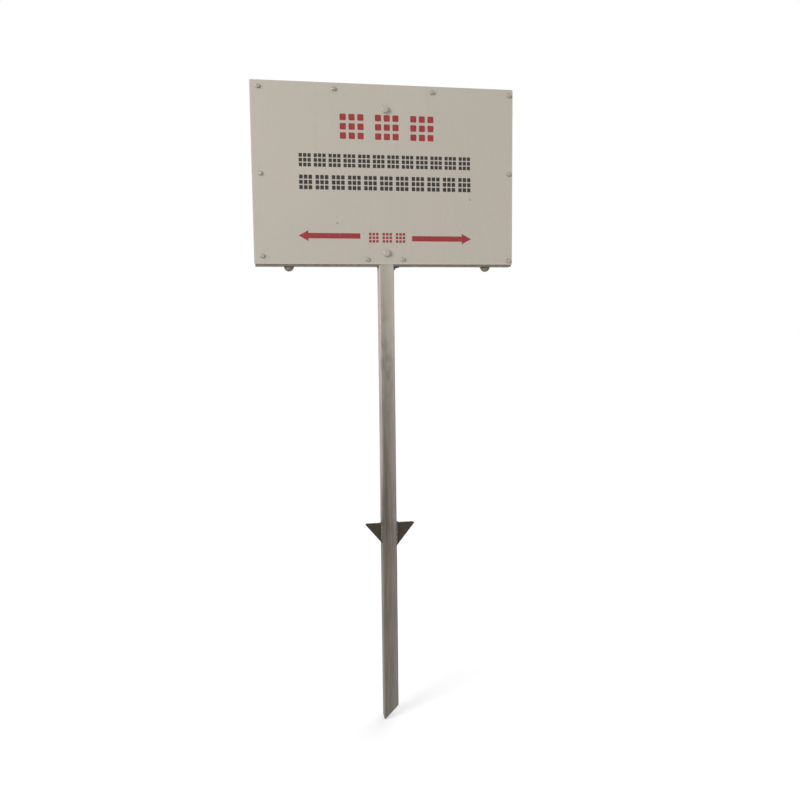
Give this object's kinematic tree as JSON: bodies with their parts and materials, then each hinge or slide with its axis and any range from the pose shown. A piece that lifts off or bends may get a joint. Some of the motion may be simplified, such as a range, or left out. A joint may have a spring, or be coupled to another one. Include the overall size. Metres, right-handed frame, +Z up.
{
  "type": "warning sign",
  "caption": "Printed steel panel on a rear frame of angle bar, bolted to a square steel post with side barbs and a slanting foot that is driven into the ground.",
  "frame": {"origin": "on the post's axis at the ground line, level with the tops of the two barbs", "axes": "+Z up along the post; -Y is the way the printed face looks; +X is to the reader's right"},
  "size_m": [0.6, 0.0545, 1.5],
  "materials": {
    "painted_sheet": "semi-matt warm pale grey paint, lightly weathered, printed on the front",
    "zinc_tube": "dull zinc coating, darker and dirtier towards the foot",
    "frame_steel": "dull olive-grey primer on hot-rolled angle bar",
    "barb_steel": "bare hot-rolled plate with dark mill scale",
    "weld_bead": "rippled dull weld metal",
    "plated_steel": "weathered zinc plating"
  },
  "bodies": {
    "root": {"panel": "painted_sheet", "post": "zinc_tube", "post_cap": "zinc_tube", "top_rail": "frame_steel", "bottom_rail_left": "frame_steel", "bottom_rail_right": "frame_steel", "left_stile": "frame_steel", "right_stile": "frame_steel", "corner_welds": "weld_bead", "post_welds": "weld_bead", "barb_left": "barb_steel", "barb_right": "barb_steel", "barb_welds": "weld_bead", "lug_left": "frame_steel", "lug_right": "frame_steel", "lug_welds": "weld_bead", "lug_bolts": "plated_steel", "lug_nuts": "plated_steel", "top_screws": "plated_steel", "side_screws": "plated_steel", "bottom_screws": "plated_steel", "post_bolts": "plated_steel", "post_washers": "plated_steel", "post_nuts": "plated_steel"}
  },
  "joints": []
}
